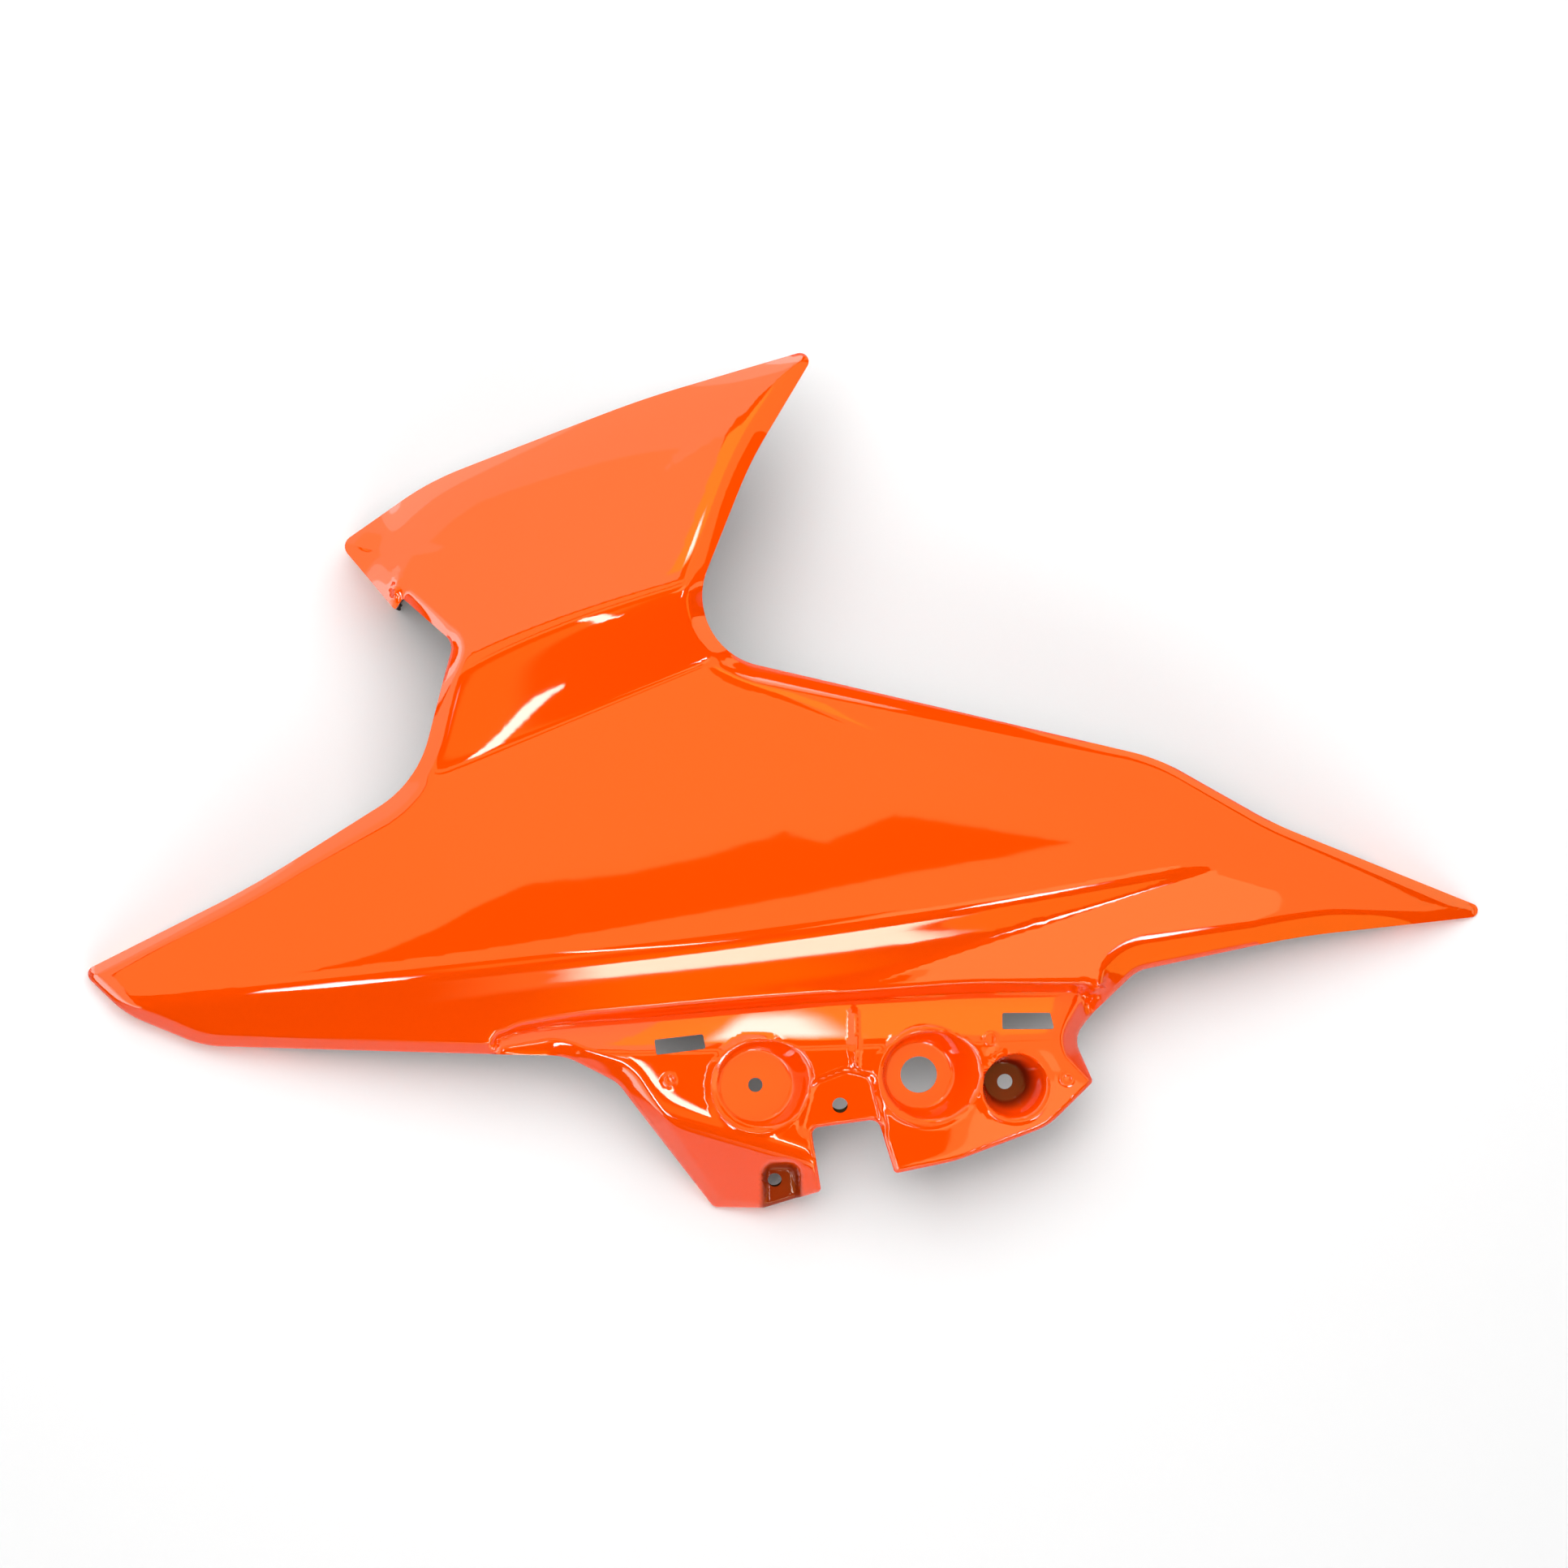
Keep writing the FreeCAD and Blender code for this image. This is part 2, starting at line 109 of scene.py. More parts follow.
# Room that the grids and rows leave, beside a rim in shares of its width and elsewhere in millimetres
SKIN_OFF_RIM = 1.7
APRON_OFF_RIM = 1.6
FOLDS_OFF_RIM = 1.55
STEP_OFF_RIM = 1.5
SEATS_OFF_RIM = 1.1
RINGS_OFF_RIM = 0.85
SKIN_OFF_FOLD = 6.6
APRON_OFF_FOLD = 3.0
SKIN_OFF_STEP = 4.6
APRON_OFF_STEP = 5.5
APRON_OFF_SEAT = 2.6
STEP_OFF_EDGE = 1.0
FOLD_OVERRUN = 1
LEAST_RING_GAP = 0.3
LEAST_RIM_GAP = 0.8

# Lower left and upper right corner of the apron's grid
APRON_GRID = ((-114, -167), (124, -72))

# Points worked on at once, gap below which mesh points merge, and angle in degrees above which edges are sharp
POINTS_AT_ONCE = 3000
MERGE_GAP = 1e-5
SHARP_ANGLE = 50

# Folds of the skin and the apron in plan: the face beyond a fold lies on its left. The ridge bows: right of
# the first value its distance grows by the second value times the square of the way
VALLEY = ((-150.0, -2.5), (-31.0, 46.5))
BROW = ((-31.0, 46.5), (157.0, -30.0))
RIDGE = ((182.0, -37.0), (-212.0, -82.4))
RIDGE_BOW = (-55.0, 0.00016)
TAIL_FOLD = ((144.0, 9.0), (182.0, -38.0))
FOLD = ((-69.5, -104.4), (108.2, -98.8))
LEG_FOLD = ((13.8, -146.0), (-36.5, -131.8))
END_FOLD = ((105.0, -99.0), (117.5, -116.0))

# Main face: height and y of its crown, and the lengths that set its curve along x and y
CROWN_HEIGHT = 66
CROWN_Y = -20
CROWN_CURVE = (1280, 1800)

# Slopes at which the other faces fall from the main face or rise from it, and the flank's curve
BROW_FALL = 0.26
TAIL_FALL = 0.06
FLANK_FALL = 0.8
FLANK_CURVE = 180
SHELF_FALL = 0.20
SHELF_TILT = 0.07
NECK_RISE = 0.30
NECK_TWIST = 0.48 / 128.7

# Wing: its middle in plan, height and slopes there, and the lengths that set its curve along x and y
WING_MIDDLE = (-33, 76)
WING_HEIGHT = 84
WING_SLOPE = (0.10, -0.25)
WING_CURVE = (560, 800)

# How far the skin's folds are rounded
BROW_ROUND = 0.25
TAIL_ROUND = 0.05
SHELF_ROUND = 0.25
RIDGE_ROUND = 1.8
WING_ROUND = 2.5
VALLEY_ROUND = 0.8

# Apron: height and x of its highest place, the length that sets its curve, slopes, and rounding of its folds
APRON_HEIGHT = 44.5
APRON_X = 20
APRON_CURVE = 1600
STRIP_FALL = 0.27
STRIP_CURVE = 400
FACE_FALL = 0.18
LEG_FALL = 0.93
END_FALL = 0.55
FOLD_ROUND = 0.5
LEG_ROUND = 3.0
END_ROUND = 0.7

# How far the apron carries on under the skin, the height that stands for no apron, and the step's rounding
APRON_UNDERLAP = 2.5
NO_APRON = -50.0
STEP_ROUND = 0.35

# Edges clockwise in plan: x, y, corner radius, then width, drop and softness of the rolled rim there
NOSE_TO_LOBE = [
    (-274.5, -73.5, 3.2, 4.2, 2.4, 0.35),
    (-206.0, -39.5, 400.0, 4.8, 2.6, 0.30),
    (-142.0, 0.5, 45.0, 6.3, 3.6, 0.30),
    (-127.5, 54.5, 6.0, 5.0, 3.0, 0.40),
    (-147.5, 71.8, 0.6, 4.0, 3.5, 0.40),
    (-150.5, 67.3, 0.8, 7.0, 3.6, 0.50),
]
WING = [
    (-172.5, 93.0, 4.2, 7.5, 2.6, 0.80),
    (-138.0, 117.0, 110.0, 8.0, 2.0, 0.90),
    (-55.0, 148.5, 400.0, 8.0, 2.0, 0.90),
    (13.5, 169.0, 3.4, 5.0, 2.2, 0.50),
    (-13.0, 124.0, 150.0, 7.0, 5.0, 0.20),
    (-41.0, 53.0, 27.0, 6.5, 4.6, 0.20),
]
BROW_TO_TAIL = [
    (145.0, 10.0, 80.0, 3.0, 1.5, 0.50),
    (190.5, -15.5, 150.0, 3.0, 1.5, 0.50),
    (280.0, -51.0, 2.7, 4.0, 1.8, 0.30),
    (199.0, -59.5, 300.0, 8.0, 4.5, 0.15),
    (137.0, -72.5, 14.0, 11.0, 6.5, 0.15),
]
STEP = [
    (121.0, -88.0, 4.2, 9.0, 7.0, 0.15),
    (118.0, -79.5, 1.5, 2.2, 4.5, 0.25),
    (72.0, -79.0, 300.0, 2.0, 4.5, 0.25),
    (-21.0, -86.0, 500.0, 2.0, 4.5, 0.25),
    (-84.0, -92.0, 300.0, 2.0, 4.5, 0.25),
    (-103.0, -95.5, 20.0, 2.0, 4.5, 0.25),
    (-110.5, -100.0, 3.0, 3.0, 4.5, 0.25),
]
NOSE_BOTTOM = [
    (-111.5, -105.0, 1.2, 4.2, 2.6, 0.20),
    (-227.0, -102.3, 40.0, 4.2, 2.4, 0.25),
    (-257.0, -90.0, 40.0, 4.2, 2.4, 0.30),
]
APRON_EDGE = [
    (121.0, -88.0, 1.5, 7.0, 7.0, 0.15),
    (112.5, -98.5, 9.0, 6.0, 6.0, 0.15),
    (120.0, -115.5, 1.6, 1.2, 1.2, 0.40),
    (102.5, -132.8, 25.0, 1.2, 1.2, 0.40),
    (66.5, -146.3, 60.0, 1.2, 1.2, 0.40),
    (43.0, -151.2, 1.6, 1.2, 1.2, 0.40),
    (36.5, -130.0, 4.0, 1.2, 1.2, 0.40),
    (10.5, -133.5, 3.0, 1.2, 1.2, 0.40),
    (14.5, -158.5, 1.6, 1.2, 1.2, 0.40),
    (-8.0, -165.5, 2.0, 1.2, 1.2, 0.40),
    (-27.5, -165.5, 3.0, 4.0, 2.0, 0.25),
    (-64.5, -116.0, 14.0, 8.0, 6.0, 0.10),
    (-85.0, -105.5, 25.0, 6.0, 5.0, 0.10),
]
APRON_UNDER_STEP = [
    (-111.5, -105.0, 1.2, 2.0, 2.0, 0.20),
    (-113.0, -85.0, 2.0, 2.0, 2.0, 0.20),
    (125.0, -68.0, 2.0, 2.0, 2.0, 0.20),
]
SKIN_EDGE = NOSE_TO_LOBE + WING + BROW_TO_TAIL + STEP + NOSE_BOTTOM
PANEL_EDGE = NOSE_TO_LOBE + WING + BROW_TO_TAIL + APRON_EDGE + NOSE_BOTTOM
APRON_LOOP = APRON_EDGE + APRON_UNDER_STEP

# Screw seats: floor centre, floor radius, mouth centre, mouth radius, floor height, floor slopes, hole radius;
# rounding at the foot of their walls, rise of the walls over that of the mouth, and least plan width of a wall
SEATS = [
    ((-11.1, -116.7), 14.2, (-9.9, -117.0), 17.6, 36.0, (-0.22, 0.06), 2.8),
    ((52.3, -112.8), 13.2, (55.4, -113.5), 18.2, 32.7, (-0.32, 0.08), 7.1),
    ((86.0, -115.9), 8.0, (89.8, -117.6), 12.6, 19.5, (-0.20, 0.09), 3.0),
]
SEAT_WALL_CURVE = 0.9
SEAT_WALL_RISE = 1.15
SEAT_WALL_LEAST = 0.8

# Raised lip round a seat: height, distance outside the mouth, width and rounding
SEAT_LIP = 0.5
SEAT_LIP_OUT = 0.8
SEAT_LIP_WIDTH = 0.9
SEAT_LIP_ROUND = 0.5

# Sunk pad: outline corners with radii, depth, softness of its edge, largest exponent there, and its hole
PAD = [
    (5.5, -136.0, 3.0),
    (11.0, -115.5, 5.0),
    (24.0, -110.5, 6.0),
    (34.0, -113.0, 4.0),
    (40.0, -136.0, 3.0),
]
PAD_DEPTH = 1.4
PAD_EDGE = 0.35
PAD_EDGE_MOST = 60.0
PAD_HOLE = ((21.7, -124.5), 3.0)

# Arched pocket: outline, floor's height, y and slope there, wall's rise and slope, rounding, and its hole
POCKET = [(-9.5, -180.0, 1.0), (-9.5, -146.5, 6.0), (6.5, -146.5, 6.0), (9.5, -180.0, 1.0)]
POCKET_FLOOR = (14.7, -154.0, 0.35)
POCKET_WALL_RISE = 14
POCKET_WALL_SLOPE = 5.5
POCKET_FLOOR_ROUND = 1.0
POCKET_LIP_ROUND = 0.4
POCKET_HOLE = ((-3.6, -154.4), 2.7)

# Slots, then the gutter's rib by x, lower and upper end, and the ring-shaped mould marks
SLOT_LEFT = [(-50.3, -99.1, 0.8), (-31.4, -96.9, 0.8), (-30.3, -102.5, 0.8), (-49.4, -105.0, 0.8)]
SLOT_RIGHT = [(84.6, -88.7, 0.8), (103.2, -88.7, 0.8), (104.8, -95.0, 0.8), (84.6, -95.0, 0.8)]
RIB = (27.4, -109.5, -88.0)
RIB_HEIGHT = 1.3
RIB_HALF_WIDTH = 1.1
RIB_END = 0.5
MOULD_MARKS = [(-44.2, -114.8), (80.1, -98.6), (109.9, -114.5)]
MARK_HEIGHT = 0.35
MARK_RADIUS = 2.2
MARK_WIDTH = 0.6

# Painted shade in the bolt cup and the pocket: cup depth at which it starts, depth over which the paint
# darkens to the bare colour, its share at the cup's bottom and in the pocket, and its ramp in from the
# pocket's edge
SHADE_FROM = 7.0
SHADE_OVER = 14.0
CUP_SHADE = 0.80
POCKET_SHADE = 0.70
POCKET_SHADE_OVER = 1.5

# Paint, and bare plastic whose colour is also the painted shade in the cup and the pocket, the share of the
# coat lost there, size in millimetres, strength and depth in metres of the coat's faint ripple, then the
# table's colour, lift and half width in metres
PAINT_COLOUR = "#FF4B00"
BARE_AND_SHADE_COLOUR = "#33200F"
BARE_AND_SHADE_COAT_LOSS = 0.9
RIPPLE_SIZE = 6.0
RIPPLE_STRENGTH = 0.02
RIPPLE_DEPTH = 0.0002
TABLE_COLOUR = "#F2F2F2"
TABLE_GLOW = 0.07
TABLE_HALF = 4.0

# Camera: its distance from the panel's middle height and that height, in metres, and its sensor's width
CAMERA_DISTANCE = 4.0
MIDDLE_HEIGHT = 0.04
SENSOR = 36.0

# Softboxes: name, place and size in metres, and watts. Then the world's plain level
SOFTBOXES = [
    ("key_softbox", (-0.10, 0.55, 1.10), (1.5, 1.3), 20.0),
    ("front_softbox", (0.10, -1.50, 0.80), (2.4, 1.2), 18.0),
]
WORLD_LEVEL = 0.11


def overhead(height, *slopes):
    """Places on a level above the table, each given by a ray's slope to it: metres sideways per metre up."""
    return [(x * height, y * height, height) for x, y in slopes]


# Studio surround that the paint mirrors, as flat cards: name, colour, radiance, soft share of the length and
# of the width, and both long sides
CARDS = [
    ("ceiling_card", "#FFF384", 2.2, (0.0, 0.0),
     overhead(6.0, (-1.25, -0.31), (-0.74, -0.225), (-0.44, -0.085), (-0.35, -0.06), (-0.22, -0.05),
              (-0.10, -0.03), (0.0, -0.005), (0.06, -0.015), (0.15, 0.012), (0.22, 0.005), (0.41, -0.02),
              (0.70, 0.02), (1.60, -0.10)),
     overhead(6.0, (-1.25, 0.20), (-0.62, 0.20), (-0.44, 0.20), (-0.35, 0.20), (-0.22, 0.20), (-0.10, 0.20),
              (0.0, 0.20), (0.05, 0.20), (0.10, 0.20), (0.12, 0.20), (0.12, 1.50), (0.70, 1.50),
              (1.60, 1.50))),
    ("lower_card", "#FFF384", 2.2, (0.0, 0.0),
     overhead(6.0, (-1.25, -0.42), (-0.64, -0.36), (-0.48, -0.335), (-0.16, -0.31), (0.19, -0.29),
              (0.08, -0.75), (0.70, -0.75), (1.60, -0.75)),
     overhead(6.0, (-1.25, -0.31), (-0.74, -0.225), (-0.48, -0.18), (-0.16, -0.11), (0.13, -0.06),
              (0.41, -0.02), (0.70, 0.02), (1.60, -0.10))),
    ("window_card", "#FFFFB4", 2.6, (0.0, 0.0),
     overhead(5.0, (-0.16, 0.28), (-1.32, 0.24), (-1.25, -0.30), (-2.0, -2.5), (-3.2, -5.0)),
     overhead(5.0, (-0.14, 1.00), (-1.32, 1.20), (-2.2, 0.60), (-3.0, -0.60), (-4.2, -3.0))),
    ("window_top_card", "#FFFFC8", 3.0, (0.0, 0.0),
     overhead(5.0, (-0.14, 1.00), (-1.32, 1.20), (-2.2, 0.60), (-3.0, -0.60)),
     overhead(5.0, (1.0, 2.7), (-0.9, 2.8), (-2.6, 2.3), (-3.3, -0.60))),
    ("rim_card", "#FFFFDC", 4.2, (0.0, 0.0),
     overhead(5.0, (1.0, 2.7), (-0.9, 2.8), (-2.6, 2.3), (-3.3, -0.60), (-4.2, -3.0), (-3.2, -5.0)),
     overhead(5.0, (1.8, 5.0), (-1.6, 5.2), (-4.6, 4.2), (-6.0, -1.0), (-7.0, -5.0), (-5.0, -8.0))),
    ("side_card", "#FFFFF4", 7.0, (0.0, 0.0),
     overhead(5.0, (1.8, 5.0), (-1.6, 5.2), (-4.6, 4.2), (-6.0, -1.0), (-7.0, -5.0), (-5.0, -8.0)),
     overhead(5.0, (6.0, 30.0), (-5.0, 30.0), (-30.0, 25.0), (-35.0, -3.0), (-35.0, -20.0), (-20.0, -30.0))),
    ("left_strip", "#FFFFFF", 28.0, (0.30, 0.25),
     overhead(4.0, (-0.94, -1.30), (-0.82, -2.00), (-0.68, -2.00), (-0.54, -1.30)),
     overhead(4.0, (-0.94, -1.20), (-0.82, -0.70), (-0.68, -0.65), (-0.54, -1.10))),
    ("right_strip", "#FFFFFF", 28.0, (0.30, 0.25),
     overhead(4.0, (0.48, -1.15), (0.56, -1.60), (0.66, -1.60), (0.76, -1.15)),
     overhead(4.0, (0.48, -1.05), (0.56, -0.78), (0.66, -0.78), (0.76, -1.00))),
    ("low_strip", "#FFF8E0", 18.0, (0.14, 0.14),
     overhead(1.2, (-0.50, -3.66), (-0.16, -3.40), (0.06, -3.29), (0.30, -3.20), (0.55, -3.16), (0.80, -3.18),
              (1.20, -3.36)),
     overhead(1.2, (-0.50, -3.76), (-0.16, -4.20), (0.06, -4.30), (0.30, -4.30), (0.55, -4.20), (0.80, -4.00),
              (1.20, -3.44))),
    ("low_glow", "#FFC060", 2.5, (0.20, 0.20),
     overhead(1.35, (-1.00, -3.60), (-0.16, -3.20), (0.55, -3.00), (1.20, -3.10)),
     overhead(1.35, (-1.00, -5.20), (-0.16, -5.00), (0.55, -5.00), (1.20, -5.00))),
    ("leaf_card", "#FFFFF0", 24.0, (0.06, 0.22),
     overhead(4.0, (-0.298, -0.277), (-0.165, -0.532), (-0.051, -0.896), (-0.005, -1.046), (0.040, -1.173),
              (0.065, -1.225)),
     overhead(4.0, (-0.316, -0.308), (-0.171, -0.681), (-0.100, -0.905), (-0.076, -1.006), (-0.048, -1.074),
              (0.055, -1.230))),
    ("neck_glow", "#FFF060", 1.4, (0.25, 0.25),
     overhead(4.3, (-0.58, -0.50), (0.08, -0.62)), overhead(4.3, (-0.52, -1.25), (0.05, -1.10))),
    ("right_card", "#FFFFA0", 2.6, (0.0, 0.0),
     overhead(5.0, (1.8, 3.0), (2.6, 1.2), (3.0, -0.60), (3.0, -2.4)),
     overhead(5.0, (12.0, 30.0), (30.0, 20.0), (35.0, -3.0), (30.0, -16.0))),
    ("gutter_glow", "#FFF060", 4.0, (0.0, 0.0),
     overhead(4.4, (-0.30, 0.50), (0.30, 0.50)), overhead(4.4, (-0.12, 1.00), (0.30, 1.00))),
    ("gutter_card", "#FFFFF4", 22.0, (0.30, 0.35),
     overhead(4.0, (-0.19, 0.50), (0.05, 0.50)), overhead(4.0, (-0.14, 0.72), (-0.03, 0.72))),
    ("flank_glow", "#FFD000", 1.6, (0.4, 0.2),
     overhead(1.6, (-0.6, -3.6), (0.8, -3.3)), overhead(1.6, (-0.6, -2.2), (0.8, -2.2))),
    ("front_card", "#FFE8A8", 5.0, (0.2, 0.0),
     overhead(1.0, (-3.0, -8.0), (3.0, -8.0)), overhead(1.0, (-12.0, -40.0), (12.0, -40.0))),
    ("shelf_card", "#FFFF9C", 3.4, (0.0, 0.0),
     overhead(5.0, (0.10, -0.76), (0.75, -0.76)), overhead(5.0, (0.19, -0.40), (0.75, -0.40))),
    ("band_card", "#FFD048", 2.5, (0.0, 0.0),
     overhead(3.0, (1.1, -3.0), (4.0, -2.6)), overhead(3.0, (1.1, -14.0), (14.0, -14.0))),
]


def smooth_min(a, b, k):
    """Lower of two heights, with the corner between them rounded over k."""
    return (a + b - np.sqrt((a - b) ** 2 + k * k)) / 2


def smooth_max(a, b, k):
    """Higher of two heights, with the corner between them rounded over k."""
    return (a + b + np.sqrt((a - b) ** 2 + k * k)) / 2


def across(line, x, y):
    """Plan distance of (x, y) to the left of a line."""
    (x0, y0), (x1, y1) = line
    return ((x1 - x0) * (y - y0) - (y1 - y0) * (x - x0)) / math.hypot(x1 - x0, y1 - y0)


def along(line, x, y):
    """Plan distance of (x, y) from a line's start, measured along the line."""
    (x0, y0), (x1, y1) = line
    return ((x1 - x0) * (x - x0) + (y1 - y0) * (y - y0)) / math.hypot(x1 - x0, y1 - y0)


def rounded_loop(corners, step):
    """Closed outline through the corners, clockwise, as points a step apart.

    At each corner an arc of its radius touches both runs. Rim values are constant on an arc and change evenly
    on a run.
    """
    c = np.array(corners, float)
    p = c[:, :2]
    back = np.roll(p, 1, 0) - p
    ahead = np.roll(p, -1, 0) - p
    back /= np.linalg.norm(back, axis=1)[:, None]
    ahead /= np.linalg.norm(ahead, axis=1)[:, None]
    half = np.arccos(np.clip((back * ahead).sum(1), -1, 1)) / 2
    radius = c[:, 2]
    cut = radius / np.tan(half)
    middle = (back + ahead) / np.linalg.norm(back + ahead, axis=1)[:, None]
    side = (ahead - back) / np.linalg.norm(ahead - back, axis=1)[:, None]
    centre = p + middle * (radius / np.sin(half))[:, None]
    sweep = math.pi - 2 * half
    points, values = [], []
    for i in range(len(c)):
        turns = int(max(math.ceil(radius[i] * sweep[i] / step), math.ceil(sweep[i] / ARC_TURN)))
        angle = np.linspace(-0.5, 0.5, turns + 1)[:, None] * sweep[i]
        points.append(centre[i] + radius[i] * (side[i] * np.sin(angle) - middle[i] * np.cos(angle)))
        values.append(np.repeat(c[i:i + 1, 3:], turns + 1, 0))
        j = (i + 1) % len(c)
        start = p[i] + ahead[i] * cut[i]
        end = p[j] + back[j] * cut[j]
        runs = max(int(round(np.linalg.norm(end - start) / step)), 1)
        share = (np.arange(1, runs) / runs)[:, None]
        points.append(start + (end - start) * share)
        values.append(c[i, 3:] + (c[j, 3:] - c[i, 3:]) * share)
    return np.concatenate(points), np.concatenate(values)


def inward(loop):
    """Unit plan normals of a clockwise loop, to the inside."""
    run = np.roll(loop, -1, 0) - np.roll(loop, 1, 0)
    run /= np.linalg.norm(run, axis=1)[:, None]
    return np.stack([run[:, 1], -run[:, 0]], 1)


def inside(loop, points):
    """True for the points inside a loop: a ray to the right crosses it an odd number of times."""
    a, b = loop, np.roll(loop, -1, 0)
    found = np.zeros(len(points), bool)
    for part in np.array_split(np.arange(len(points)), len(points) // POINTS_AT_ONCE + 1):
        x, y = points[part, :1], points[part, 1:]
        spans = (a[:, 1] > y) != (b[:, 1] > y)
        with np.errstate(divide="ignore", invalid="ignore"):
            crossing = a[:, 0] + (y - a[:, 1]) * (b[:, 0] - a[:, 0]) / (b[:, 1] - a[:, 1])
        found[part] = (spans & (x < crossing)).sum(1) % 2 == 1
    return found


def edge_distance(loop, points):
    """Plan distance from each point to a loop, negative outside, with the nearest run's number and share."""
    a = loop
    run = np.roll(loop, -1, 0) - a
    length2 = np.maximum((run ** 2).sum(1), 1e-12)
    distance = np.empty(len(points))
    number = np.empty(len(points), int)
    share = np.empty(len(points))
    for part in np.array_split(np.arange(len(points)), len(points) // POINTS_AT_ONCE + 1):
        px = points[part, 0][:, None] - a[:, 0]
        py = points[part, 1][:, None] - a[:, 1]
        t = np.clip((px * run[:, 0] + py * run[:, 1]) / length2, 0, 1)
        gap = (px - t * run[:, 0]) ** 2 + (py - t * run[:, 1]) ** 2
        best = gap.argmin(1)
        rows = np.arange(len(part))
        distance[part] = np.sqrt(gap[rows, best])
        number[part] = best
        share[part] = t[rows, best]
    sign = np.where(inside(loop, points), 1.0, -1.0)
    return distance * sign, number, share


def rim_drop(corners, points):
    """How far the rolled rim of an outline lies below the face it edges.

    With q the distance to the edge over the rim's width, the drop is its depth times the rounded ramp
    ((1 - q) + sqrt((1 - q)^2 + softness^2)) / 2, which falls on at the same slope beyond the edge.
    """
    loop, values = rounded_loop(corners, RIM_STEP)
    distance, number, share = edge_distance(loop, points)
    v = values[number] + (values[(number + 1) % len(loop)] - values[number]) * share[:, None]
    ramp = 1 - distance / v[:, 0]
    return v[:, 1] * (ramp + np.sqrt(ramp ** 2 + v[:, 2] ** 2)) / 2, distance


def skin_height(x, y):
    """Crowned main face folded along its lines.

    The main face is a paraboloid. Brow, tail and flank each fall from it by a slope times the distance beyond
    their fold, and the lowest face counts. The neck rises from it, steeper along its valley, up to the
    crowned wing.
    """
    main = CROWN_HEIGHT - x ** 2 / CROWN_CURVE[0] - (y - CROWN_Y) ** 2 / CROWN_CURVE[1]
    brow = main - BROW_FALL * across(BROW, x, y)
    tail = main - TAIL_FALL * across(TAIL_FOLD, x, y)
    below = across(RIDGE, x, y) + RIDGE_BOW[1] * np.maximum(x - RIDGE_BOW[0], 0) ** 2
    flank = main - FLANK_FALL * below + below ** 2 / FLANK_CURVE
    shelf = main - SHELF_FALL * below - SHELF_TILT * along(RIDGE, x, y)
    body = smooth_min(smooth_min(main, brow, BROW_ROUND), tail, TAIL_ROUND)
    body = smooth_min(body, smooth_max(flank, shelf, SHELF_ROUND), RIDGE_ROUND)
    rise = np.maximum(NECK_RISE + NECK_TWIST * along(VALLEY, x, y), NECK_RISE)
    neck = main + rise * across(VALLEY, x, y)
    wing_x = x - WING_MIDDLE[0]
    wing_y = y - WING_MIDDLE[1]
    wing = WING_HEIGHT + WING_SLOPE[0] * wing_x + WING_SLOPE[1] * wing_y
    wing = wing - wing_x ** 2 / WING_CURVE[0] - wing_y ** 2 / WING_CURVE[1]
    return smooth_max(body, smooth_min(neck, wing, WING_ROUND), VALLEY_ROUND)


def seat_surface(seat, x, y):
    """Tilted floor disc and the wall round it, a cone that leans from the floor's circle to the mouth's."""
    (fx, fy), floor_radius, (mx, my), mouth_radius, height, (slope_x, slope_y), _ = seat
    floor = height + slope_x * (x - fx) + slope_y * (y - fy)
    reach = np.hypot(x - fx, y - fy) + 1e-9
    widening = mouth_radius - floor_radius + ((x - fx) * (mx - fx) + (y - fy) * (my - fy)) / reach
    face = apron_face(np.array(mx), np.array(my))
    mouth_rise = face - height - slope_x * (mx - fx) - slope_y * (my - fy)
    widening = np.maximum(widening, SEAT_WALL_LEAST)
    wall = floor + mouth_rise * SEAT_WALL_RISE * (reach - floor_radius) / widening
    return smooth_max(floor, wall, SEAT_WALL_CURVE)


def apron_face(x, y):
    """Apron without its features: a gutter strip, a face below its fold, a falling leg and a falling end.

    Each falls from a base curved along x by a slope times the distance beyond its fold. The lowest counts.
    """
    base = APRON_HEIGHT - (x - APRON_X) ** 2 / APRON_CURVE
    fold = across(FOLD, x, y)
    above = np.maximum(fold, 0)
    strip = base - STRIP_FALL * fold - above ** 2 / STRIP_CURVE
    plain = base + FACE_FALL * fold
    face = smooth_min(strip, plain, FOLD_ROUND)
    face = smooth_min(face, plain - LEG_FALL * across(LEG_FOLD, x, y), LEG_ROUND)
    return smooth_min(face, plain - END_FALL * across(END_FOLD, x, y), END_ROUND)


def plain_loop(corners, step):
    """Rounded outline of a feature that has no rim of its own."""
    return rounded_loop([(*corner, 0.0, 0.0, 0.0) for corner in corners], step)[0]


